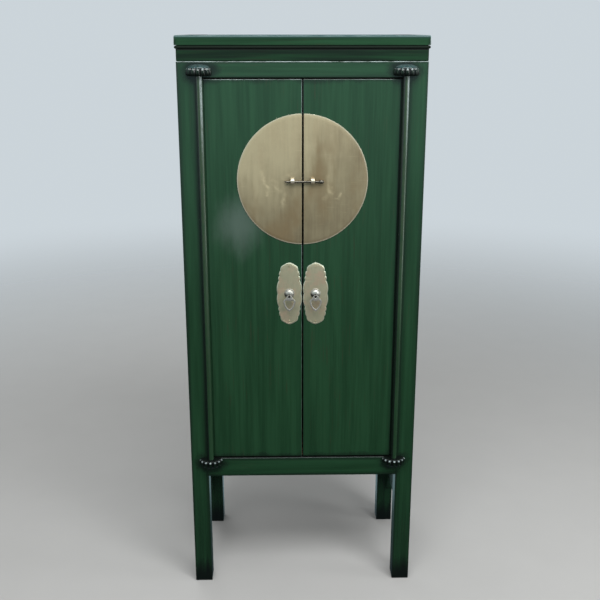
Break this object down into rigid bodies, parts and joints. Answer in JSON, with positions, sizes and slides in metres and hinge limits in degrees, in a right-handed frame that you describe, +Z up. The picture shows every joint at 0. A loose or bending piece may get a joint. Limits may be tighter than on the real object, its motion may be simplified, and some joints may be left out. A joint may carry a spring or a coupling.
{
  "type": "wedding cabinet",
  "caption": "Tall narrow lacquered wooden cabinet on square legs with pole-hinged double doors, a split round brass plate with sliding lock pin, and drop pulls.",
  "frame": {"origin": "on the floor under the middle of the whole box, carved blocks included", "axes": "+X to the viewer's right, +Y from the doors to the back, +Z up"},
  "size_m": [0.656, 0.425, 1.6],
  "materials": {
    "green_lacquer": "glossy green lacquer, blackened along the edges",
    "carved_lacquer": "dark green lacquer with black glaze in the carving",
    "inner_wood": "plain waxed wood",
    "aged_brass": "dull aged brass",
    "pale_brass": "pale rubbed brass",
    "dark_brass": "darkened brass"
  },
  "bodies": {
    "carcass": {"back_bottom_rail": "green_lacquer", "back_frieze": "green_lacquer", "back_panel": "green_lacquer", "back_top_frame": "green_lacquer", "back_top_rail": "green_lacquer", "floor_board": "inner_wood", "front_bottom_rail": "green_lacquer", "front_frieze": "green_lacquer", "front_top_frame": "green_lacquer", "front_top_rail": "green_lacquer", "left_apron": "green_lacquer", "left_back_post": "green_lacquer", "left_back_spandrel": "green_lacquer", "left_bottom_rail": "green_lacquer", "left_frieze": "green_lacquer", "left_front_post": "green_lacquer", "left_front_spandrel": "green_lacquer", "left_lower_block": "carved_lacquer", "left_side_panel": "green_lacquer", "left_top_frame": "green_lacquer", "left_top_rail": "green_lacquer", "left_upper_block": "carved_lacquer", "lower_shelf": "inner_wood", "right_apron": "green_lacquer", "right_back_post": "green_lacquer", "right_back_spandrel": "green_lacquer", "right_bottom_rail": "green_lacquer", "right_frieze": "green_lacquer", "right_front_post": "green_lacquer", "right_front_spandrel": "green_lacquer", "right_lower_block": "carved_lacquer", "right_side_panel": "green_lacquer", "right_top_frame": "green_lacquer", "right_top_rail": "green_lacquer", "right_upper_block": "carved_lacquer", "shelf_cleats": "inner_wood", "top_door_stop": "inner_wood", "top_panel": "green_lacquer", "upper_shelf": "inner_wood"},
    "left_door": {"left_door_leaf": "green_lacquer", "left_pivot_pole": "green_lacquer", "left_door_battens": "inner_wood", "left_half_disc": "aged_brass", "left_lock_staple": "pale_brass", "left_pull_plate": "aged_brass", "left_plate_tacks": "aged_brass", "left_rosette": "pale_brass", "left_pull_post": "dark_brass"},
    "right_door": {"right_door_leaf": "green_lacquer", "right_pivot_pole": "green_lacquer", "right_door_battens": "inner_wood", "right_half_disc": "aged_brass", "right_lock_staple": "pale_brass", "right_pull_plate": "aged_brass", "right_plate_tacks": "aged_brass", "right_rosette": "pale_brass", "right_pull_post": "dark_brass"},
    "left_pull": {"left_drop_pull": "pale_brass"},
    "right_pull": {"right_drop_pull": "pale_brass"},
    "lock_pin": {"lock_pin": "dark_brass"}
  },
  "joints": [
    {"name": "left_door_swing", "type": "hinge", "parent": "carcass", "child": "left_door", "pos_m": [-0.267, -0.1895, 0.955], "axis": [0, 0, -1], "range_deg": [0, 180]},
    {"name": "right_door_swing", "type": "hinge", "parent": "carcass", "child": "right_door", "pos_m": [0.267, -0.1895, 0.955], "axis": [0, 0, 1], "range_deg": [0, 180]},
    {"name": "lock_pin_slide", "type": "slide", "parent": "right_door", "child": "lock_pin", "axis": [1, 0, 0], "range_m": [-0.01, 0.06]},
    {"name": "left_pull_swing", "type": "hinge", "parent": "left_door", "child": "left_pull", "pos_m": [-0.0363, -0.1953, 0.9135], "axis": [-1, 0, 0], "range_deg": [0, 150]},
    {"name": "right_pull_swing", "type": "hinge", "parent": "right_door", "child": "right_pull", "pos_m": [0.0363, -0.1953, 0.9135], "axis": [-1, 0, 0], "range_deg": [0, 150]}
  ]
}
